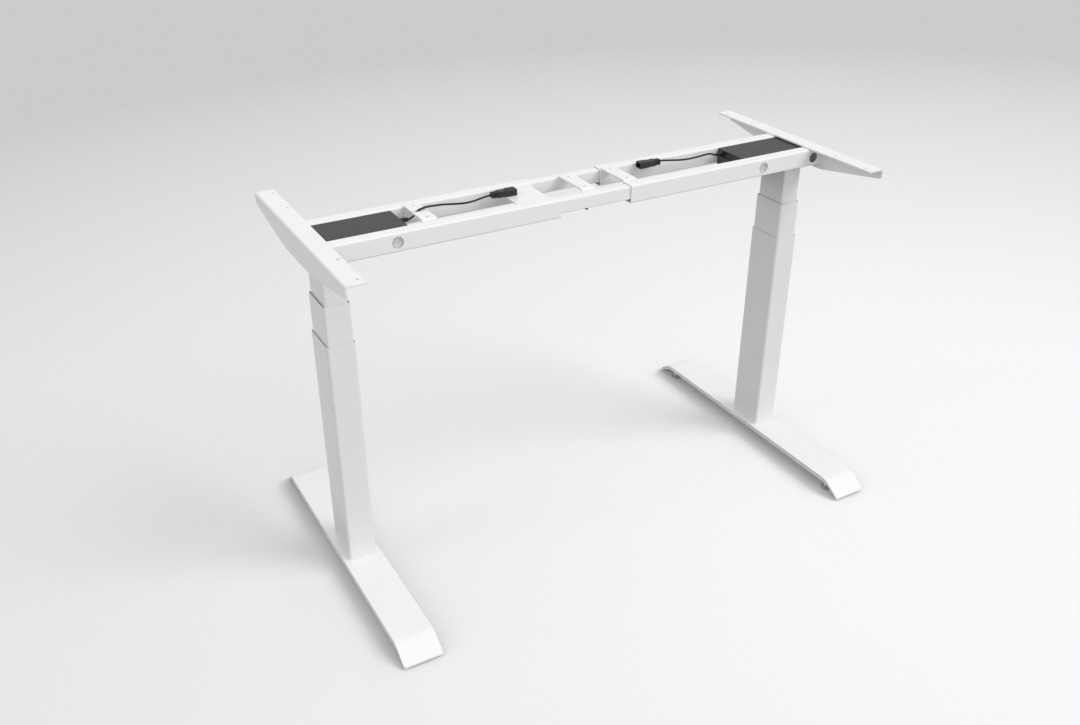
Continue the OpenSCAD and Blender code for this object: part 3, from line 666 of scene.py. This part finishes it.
def socket_shape(half_y, half_z):
    """Rounded rectangles strung along x, from the middle of the block's back out, along its side, over
    the rim and down to a shallow panel in its face, which is at x = 0."""
    soft = socket_soft
    back = -socket_thick
    x = np.array([back, back, back + soft, -soft, 0, 0, -panel_depth, -panel_depth])
    inset = np.array([np.inf, soft, 0, 0, soft, socket_rim, socket_rim + panel_slope, np.inf])
    size_y = np.clip(half_y - inset, 0, None)
    size_z = np.clip(half_z - inset, 0, None)
    corner = np.minimum(socket_corner, np.minimum(size_y, size_z))
    return lofted_along_x(x, size_y, size_z, corner, (0, 0, 0))


def gland_shape(length):
    """Half section of the gland turned about x: a sleeve with four grip rings, a rounded mouth and a bore
    that the lead goes into. It stands on x = 0, with its root sunk behind that."""
    full = gland_radius
    groove = full - gland_groove
    bore = lead_width / 2 + bore_play
    rows = [(0, -gland_root), (full, -gland_root), (full, gland_ring - gland_slope), (groove, gland_ring)]
    for start in np.linspace(ring_margins[0], length - ring_margins[1], gland_rings):
        end = start + gland_ring
        rows += [(groove, start), (full, start + gland_slope), (full, end - gland_slope), (groove, end)]
    rows += [(groove, length - gland_lip), (bore + bore_lip[0], length), (bore, length - bore_lip[1])]
    rows += [(bore, length - bore_depth), (0, length - bore_depth)]
    return turned(rows, (0, 0, 0), "x", around=40)


for side in ("left", "right"):
    dress(f"{side}_case", dark_texture, case_edge)
    add_piece(
        f"{side}_case_cover", join_grids([flat_lid(*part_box(f"{side}_case_lid"))]), dark_texture,
        f"{side}_top", f"{side}_case_lid")
    low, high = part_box(f"{side}_socket")
    block = [socket_shape((high.y - low.y) / 2, (high.z - low.z) / 2)]
    gland = [gland_shape(high.x - low.x - socket_thick)]
    if side == "left":
        face = low.x + socket_thick
    else:
        block = mirrored(block)
        gland = mirrored(gland)
        face = high.x - socket_thick
    lead_start = lead_paths[side][0]
    block = [grid + (face, (low.y + high.y) / 2, (low.z + high.z) / 2) for grid in block]
    gland = [grid + (face, lead_start[1], lead_start[2]) for grid in gland]
    add_piece(
        f"{side}_socket_block", join_grids(block), filled_nylon, f"{side}_top", f"{side}_socket",
        crisp=35)
    add_piece(
        f"{side}_lead_gland", join_grids(gland), pvc_sheath, f"{side}_top", None, crisp=35)

# Outer rails
# Two rolled tubes each side, 2 mm thick, carry the beam. Each has two round holes punched in its outer
# face: one closed by a pressed-in cap, one left open for a screwdriver. Powder coated white.
rail_wall = 2 * mm
rail_corner = 4 * mm
port_radius = 11 * mm
port_block = 13.5 * mm
rail_edge = 0.35 * mm
open_from_leg = 24 * mm
leg_low, leg_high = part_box("right_outer_tube")
cap_low, cap_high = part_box("right_port_plugs")
plugged_port = (cap_low.x + cap_high.x) / 2
open_port = (leg_low.x + leg_high.x) / 2 + open_from_leg
ring_shares = (0.5, 0.85, 1.0)


def punched_blank(s_lines, t_lines, holes, half, steps):
    """A flat blank as a grid of points (s, t) with punched holes. Around each hole a block of the grid is
    left out and filled by rings that pass from the block's border to the hole's outline. A hole is
    (s, t, radius, half length of its straight part along t)."""
    lines = [s_lines, t_lines]
    for at_s, at_t, _, straight in holes:
        share = np.linspace(-1, 1, steps + 1)
        lines[0] = np.concatenate([lines[0], at_s + half * share])
        lines[1] = np.concatenate([lines[1], at_t + (half + straight) * share])
    s, t = (np.unique(np.round(line, 8)) for line in lines)
    grid = np.stack(np.meshgrid(s, t, indexing="ij"), -1).reshape(-1, 2)
    faces = grid_faces(len(s), len(t), 0).reshape(len(s) - 1, len(t) - 1, 4)
    keep = np.ones(faces.shape[:2], bool)
    points = [grid]
    rings = []
    count = len(grid)
    for at_s, at_t, radius, straight in holes:
        i0, i1 = (int(np.argmin(np.abs(s - at_s - end * half))) for end in (-1, 1))
        j0, j1 = (int(np.argmin(np.abs(t - at_t - end * (half + straight)))) for end in (-1, 1))
        keep[i0:i1, j0:j1] = False
        up, across = np.arange(i0, i1), np.arange(j0, j1)
        row = np.concatenate([up, np.full(j1 - j0, i1), up[::-1] + 1, np.full(j1 - j0, i0)])
        column = np.concatenate([np.full(i1 - i0, j0), across, np.full(i1 - i0, j1), across[::-1] + 1])
        border = row * len(t) + column
        outer = grid[border]
        middle = np.clip(outer[:, 1] - at_t, -straight, straight)
        angle = np.arctan2(outer[:, 1] - at_t - middle, outer[:, 0] - at_s)
        rim = np.stack([at_s + radius * np.cos(angle), at_t + middle + radius * np.sin(angle)], -1)
        before = border
        for share in ring_shares:
            points.append(outer + (rim - outer) * share)
            ring = count + np.arange(len(border))
            count += len(border)
            rings.append(np.stack([before, np.roll(before, -1), np.roll(ring, -1), ring], -1))
            before = ring
    return np.vstack(points), np.vstack([faces[keep], *rings])


def outline_lengths(outline):
    """Distance along an outline from its first point to each of its points."""
    return np.concatenate([[0], np.cumsum(np.linalg.norm(np.diff(outline, axis=0), axis=1))])


def rail_shape(low, high, face, ports):
    """A blank rolled into a rounded rectangular tube along x: s runs round the section from the middle
    of the inner wall, t along the rail. The holes lie in the middle of the outer wall."""
    half_y = (high.y - low.y) / 2
    half_z = (high.z - low.z) / 2
    section = rounded_loops(half_y, half_z, rail_corner, arc_steps=8, along_b=(0,))[:, 0]
    if face > 0:
        section = section * (-1, -1)
    lengths = outline_lengths(section)
    middle = lengths[-1] / 2
    holes = [(middle, x, port_radius, 0) for x in ports]
    blank, faces = punched_blank(lengths, [low.x, high.x], holes, half=port_block, steps=10)
    y = np.interp(blank[:, 0], lengths, section[:, 0]) + (low.y + high.y) / 2
    z = np.interp(blank[:, 0], lengths, section[:, 1]) + (low.z + high.z) / 2
    return np.stack([blank[:, 1], y, z], -1), faces


for side, sign in (("left", -1), ("right", 1)):
    for edge_name, face in (("front", -1), ("rear", 1)):
        ports = (sign * plugged_port, sign * open_port)
        shape = rail_shape(*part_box(f"{side}_{edge_name}_rail"), face, ports)
        add_piece(
            f"{side}_{edge_name}_beam_tube", shape, white_powder, f"{side}_top",
            f"{side}_{edge_name}_rail", wall=rail_wall, edge=rail_edge)

# Port caps
# Shallow cups moulded in pale grey polypropylene, pressed into the inner pair of rail holes: a narrow
# gap round a thin rim, a floor set back and a small mark where the mould was filled. Their colour is
# drawn greyer than the plastic's own, as painted shade of the set-back floor.
cap_depth = 6 * mm
cap_fit = 0.05 * mm
cap_gap = 1.0 * mm
cap_wall = 0.8 * mm
cap_recess = 2.8 * mm
cap_soft = 0.4 * mm
cap_round = 0.2 * mm
ring_middle = 5 * mm
ring_foot = 0.6 * mm
ring_top = 0.3 * mm
gate_mark = (1.6 * mm, 1.2 * mm)
gate_depth = 0.8 * mm

# Polypropylene, moulded and duller than the coat around it. Its grey is partly the plastic's own pale grey
# and partly painted shade of the set-back cup.
polypropylene_with_painted_shade = surface_finish(
    "moulded_polypropylene_painted_shade", ("d1d1d1", "d8d8d8"), roughness=(0.38, 0.48),
    mottle=9 * mm, grain=1.5 * mm, relief=0.02 * mm, IOR=1.49)


def cap_shape(x, face_y, z, outward):
    """Half section of the cup, from the middle of its back out, along its side, in to the gap, over the
    rim and down to the floor with a raised ring and a dimple, turned about y."""
    seat = port_radius - cap_fit
    rim = seat - cap_gap
    inside = rim - cap_wall
    back = -cap_depth
    gap = -rail_wall
    base = -cap_recess
    raised = base + cap_soft
    rows = [
        (0, back), (seat - cap_soft, back), (seat, back + cap_soft), (seat, gap), (rim, gap),
        (rim, -cap_round), (rim - cap_round, 0), (inside + cap_round, 0), (inside, -cap_round),
        (inside, raised), (inside - cap_soft, base), (ring_middle + ring_foot, base),
        (ring_middle + ring_top, raised), (ring_middle - ring_top, raised),
        (ring_middle - ring_foot, base), (gate_mark[0], base), (gate_mark[1], base - gate_depth),
        (0, base - gate_depth)]
    grid = turned(rows, (0, 0, 0), "y", around=48)
    if outward < 0:
        grid = grid[::-1] * (1, -1, 1)
    return grid + (x, face_y, z)


for side, sign in (("left", -1), ("right", 1)):
    low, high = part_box(f"{side}_port_plugs")
    port_z = (low.z + high.z) / 2
    grids = [cap_shape(sign * plugged_port, y, port_z, outward) for y, outward in ((low.y, -1), (high.y, 1))]
    add_piece(
        f"{side}_port_caps", join_grids(grids), polypropylene_with_painted_shade, f"{side}_top",
        f"{side}_port_plugs", crisp=35)

# Cross plates
# Saddles of 3.5 mm steel across the rails, with both ends folded down between them and two holes for
# table screws. The left one has a slot for the lead; a low plate and a tab hold the connectors.
plate_sheet = 3.5 * mm
plate_bend = 3.5 * mm
plate_hole = 3.25 * mm
plate_hole_place = 32 * mm
plate_edge = 0.5 * mm
plate_block = 5.5 * mm
slot_radius = 3.2 * mm
slot_straight = 3.3 * mm
slot_shift = -5.2 * mm
slot_y = 2 * mm


def saddle_shape(low, high, holes):
    """A blank folded over two lines: s runs from one lower edge up, over the bend, across the top and
    down to the other lower edge, t along x. The fold carries s along that outline."""
    half = (high.y - low.y) / 2
    turn = np.linspace(0, np.pi / 2, 7)
    bend_y = half - plate_bend + plate_bend * np.cos(turn)
    bend_z = high.z - plate_bend + plate_bend * np.sin(turn)
    y = np.concatenate([[half], bend_y, -bend_y[::-1], [-half]])
    z = np.concatenate([[low.z], bend_z, bend_z[::-1], [low.z]])
    lengths = outline_lengths(np.stack([y, z], -1))
    punched = [(lengths[-1] / 2 - at_y, at_x, radius, straight) for at_x, at_y, radius, straight in holes]
    blank, faces = punched_blank(lengths, [low.x, high.x], punched, half=plate_block, steps=6)
    folded = [blank[:, 1], np.interp(blank[:, 0], lengths, y), np.interp(blank[:, 0], lengths, z)]
    return np.stack(folded, -1), faces


plates = {"left_cross_plate": "left_top", "right_cross_plate": "right_top", "ladder_plate": "beam_centre"}
for plate, body in plates.items():
    low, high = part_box(plate)
    middle = (low.x + high.x) / 2
    holes = [(middle, y, plate_hole, 0) for y in (-plate_hole_place, plate_hole_place)]
    if plate == "left_cross_plate":
        holes.append((middle + slot_shift, slot_y, slot_radius, slot_straight))
    add_piece(
        f"{plate}_saddle", saddle_shape(low, high, holes), white_powder, body, plate,
        wall=plate_sheet, edge=plate_edge)
dress("left_end_plate", white_powder, plate_edge)
dress("right_rest_tab", white_powder)

# Table brackets
# An angle of 3.5 mm steel over each leg: its flange lies on the rails and takes four table screws, and
# its web hangs outside them, deep in the middle and shallow at the ends. Powder coated white.
bracket_bend = 5 * mm
web_middle = 51.5 * mm
web_end = 22.5 * mm
web_flat = 75 * mm
web_corner = 8 * mm
bracket_hole = 3.25 * mm
bracket_hole_edge = 9 * mm
bracket_holes = (-229 * mm, -138 * mm, 138 * mm, 229 * mm)
bracket_block = 6 * mm


def bracket_shape(low, high, sign):
    """A blank folded once: s runs from the flange's free edge across, over the bend and down the web, t
    along y. Below the bend s is a share of the web's depth at that y: even over the leg, then tapering
    to the ends, where a quarter circle takes off the corner."""
    half = (high.y - low.y) / 2
    wide = high.x - low.x
    turn = np.linspace(0, np.pi / 2, 9)
    x = np.concatenate([[0], wide - bracket_bend + bracket_bend * np.sin(turn)])
    z = np.concatenate([[0], bracket_bend * (np.cos(turn) - 1)])
    lengths = outline_lengths(np.stack([x, z], -1))
    web_rows = np.linspace(0, 1, 9)[1:]
    corner = half - web_corner + web_corner * np.sin(np.linspace(0, np.pi / 2, 9))
    run = np.concatenate([np.linspace(0, web_flat, 4), np.linspace(web_flat, half - web_corner, 12), corner])
    t_lines = np.concatenate([-run[::-1], run])
    holes = [(bracket_hole_edge, y, bracket_hole, 0) for y in bracket_holes]
    s_lines = np.concatenate([lengths, lengths[-1] + web_rows])
    blank, faces = punched_blank(s_lines, t_lines, holes, half=bracket_block, steps=6)
    s, y = blank.T
    far = np.abs(y)
    depth = np.interp(far, [web_flat, half - web_corner], [web_middle, web_end])
    into = np.clip(far - (half - web_corner), 0, web_corner)
    depth = depth - (web_corner - np.sqrt(web_corner ** 2 - into ** 2))
    down = np.clip(s - lengths[-1], 0, 1) * (depth - bracket_bend)
    place_x = np.interp(s, lengths, x)
    place_z = high.z + np.interp(s, lengths, z) - down
    if sign > 0:
        return np.stack([low.x + place_x, y, place_z], -1), faces
    return np.stack([high.x - place_x, y, place_z], -1), faces[:, ::-1]


for side, sign in (("left", -1), ("right", 1)):
    add_piece(
        f"{side}_table_bracket", bracket_shape(*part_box(f"{side}_bracket"), sign), white_powder,
        f"{side}_top", f"{side}_bracket", wall=plate_sheet, edge=plate_edge)

# Sliding ladder
# Two smaller tubes slide in the outer rails and join the halves, so that the width can be set. Their
# faces are coated white, and black clamp screws from below hold the setting.
ladder_corner = 2.5 * mm
screw_edge = 0.4 * mm


def ladder_shape(low, high):
    """A rounded rectangle carried straight along x."""
    corners = [ladder_corner, ladder_corner]
    loops = rounded_loops((high.y - low.y) / 2, (high.z - low.z) / 2, corners, arc_steps=6)
    x = np.broadcast_to([low.x, high.x], loops.shape[:2])
    return np.concatenate([x[..., None], loops], -1) + (0, (low.y + high.y) / 2, (low.z + high.z) / 2)


# Black oxide steel: dark, slightly oily.
black_oxide = surface_finish(
    "black_oxide_steel", ("1b1b1d", "262628"), roughness=(0.3, 0.42),
    mottle=6 * mm, grain=0.8 * mm, relief=0.01 * mm, Metallic=0.9)
for edge_name in ("front", "rear"):
    node = f"ladder_{edge_name}_rail"
    add_piece(
        f"ladder_{edge_name}_slider", join_grids([ladder_shape(*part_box(node))]), white_powder,
        "beam_centre", node, wall=rail_wall, edge=rail_edge)
dress("ladder_screws", black_oxide, screw_edge)

# Floor and light
# A pale floor that greys behind the frame, as in the photo, and runs on to meet the sky; soft studio light
# from an even sky, a large lamp high on the front right, low light in front and a faint lamp on the left.
# The floor's sizes are in metres.
floor_half = 40.0
# The floor's seen grey is painted light: brightest at this centre, then darkening as painted fall-off over
# the span that follows.
floor_painted_light_centre = (1.0, -0.6, 0.0)
floor_painted_falloff = (0.7, 4.7)
floor_horizon = (9.0, 28.0)
floor_roughness = 0.85
thrown_greys = ("a6a6a6", "868686")
seen_greys_painted_falloff = ("f8f8f8", "cacaca")
far_grey = "ededed"
sky_grey = "f2f2f2"
sky_on_object = 0.76
sky_seen = 1.0


def flat_floor(half):
    """A square of four points at height 0."""
    return np.array([[[-half, -half, 0], [-half, half, 0]], [[half, -half, 0], [half, half, 0]]])


def seen_directly(tree):
    """1 for camera, mirror and see-through rays, 0 for the light that a surface throws on others."""
    rays = add_node(tree, "ShaderNodeLightPath", {}).outputs
    seen = rays["Is Camera Ray"]
    for other in ("Is Glossy Ray", "Is Transmission Ray"):
        seen = add_node(tree, "ShaderNodeMath", {0: seen, 1: rays[other]}, operation="MAXIMUM").outputs[0]
    return seen


def floor_paint():
    """Matt paint with a painted pool of light: its seen grey deepens as painted fall-off of the light with
    the distance from the light's centre, and pales again to meet the sky.
    It looks pale, but throws less light back, as a small sweep in a dark studio does."""
    made = bpy.data.materials.new("pale_floor_painted_light")
    made.use_nodes = True
    tree = made.node_tree
    shader = tree.nodes["Principled BSDF"]
    shader.inputs["Roughness"].default_value = floor_roughness
    shader.inputs["Specular IOR Level"].default_value = 0.0
    place = add_node(tree, "ShaderNodeTexCoord", {}).outputs["Object"]
    away = add_node(tree, "ShaderNodeVectorMath", {0: place, 1: floor_painted_light_centre}, operation="DISTANCE")
    share = add_node(tree, "ShaderNodeMapRange", {
        "Value": away.outputs["Value"], "From Min": floor_painted_falloff[0], "From Max": floor_painted_falloff[1]})
    horizon = add_node(tree, "ShaderNodeMapRange", {
        "Value": away.outputs["Value"], "From Min": floor_horizon[0], "From Max": floor_horizon[1]})
    greys = []
    for near, far in (thrown_greys, seen_greys_painted_falloff):
        greys.append(add_node(tree, "ShaderNodeMix", {
            "Factor": share.outputs["Result"], mix_first: linear(near), mix_second: linear(far)},
            data_type="RGBA").outputs[mix_result])
    greys[1] = add_node(tree, "ShaderNodeMix", {
        "Factor": horizon.outputs["Result"], mix_first: greys[1], mix_second: linear(far_grey)},
        data_type="RGBA").outputs[mix_result]
    shown = add_node(tree, "ShaderNodeMix", {
        "Factor": seen_directly(tree), mix_first: greys[0], mix_second: greys[1]}, data_type="RGBA")
    tree.links.new(shown.outputs[mix_result], shader.inputs["Base Color"])
    return made


floor_mesh = bpy.data.meshes.new("studio_floor")
floor_points, floor_faces = join_grids([flat_floor(floor_half)])
floor_mesh.from_pydata(floor_points.tolist(), [], floor_faces.tolist())
floor_mesh.materials.append(floor_paint())
floor = bpy.data.objects.new("studio_floor", floor_mesh)
bpy.context.scene.collection.objects.link(floor)
floor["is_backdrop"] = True


def add_lamp(name, azimuth, elevation, power, spread):
    """A far lamp that shines from an azimuth, anticlockwise from the front, and an elevation, and fills
    the spread in the sky; all in degrees."""
    lamp = bpy.data.lights.new(name, "SUN")
    lamp.energy = power
    lamp.angle = math.radians(spread)
    made = bpy.data.objects.new(name, lamp)
    made.rotation_euler = (math.radians(90 - elevation), 0, math.radians(azimuth))
    bpy.context.scene.collection.objects.link(made)
    return made


main_lamp = add_lamp("front_right_lamp", azimuth=46, elevation=44, power=1.28, spread=35)
# The photo's coat shows no bright disc, so the main lamp isn't mirrored in it.
main_lamp.visible_glossy = False
add_lamp("left_lamp", azimuth=270, elevation=30, power=0.25, spread=30)
add_lamp("front_lamp", azimuth=0, elevation=4, power=0.55, spread=40)
world = bpy.data.worlds.new("studio_sky")
world.use_nodes = True
sky = world.node_tree.nodes["Background"]
sky.inputs["Color"].default_value = linear(sky_grey)
sky_level = add_node(world.node_tree, "ShaderNodeMapRange", {
    "Value": seen_directly(world.node_tree), "To Min": sky_on_object, "To Max": sky_seen})
world.node_tree.links.new(sky_level.outputs["Result"], sky.inputs["Strength"])
bpy.context.scene.world = world
bpy.context.scene.view_settings.view_transform = "Standard"

# Size note
# The dressed object's box.
low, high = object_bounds()
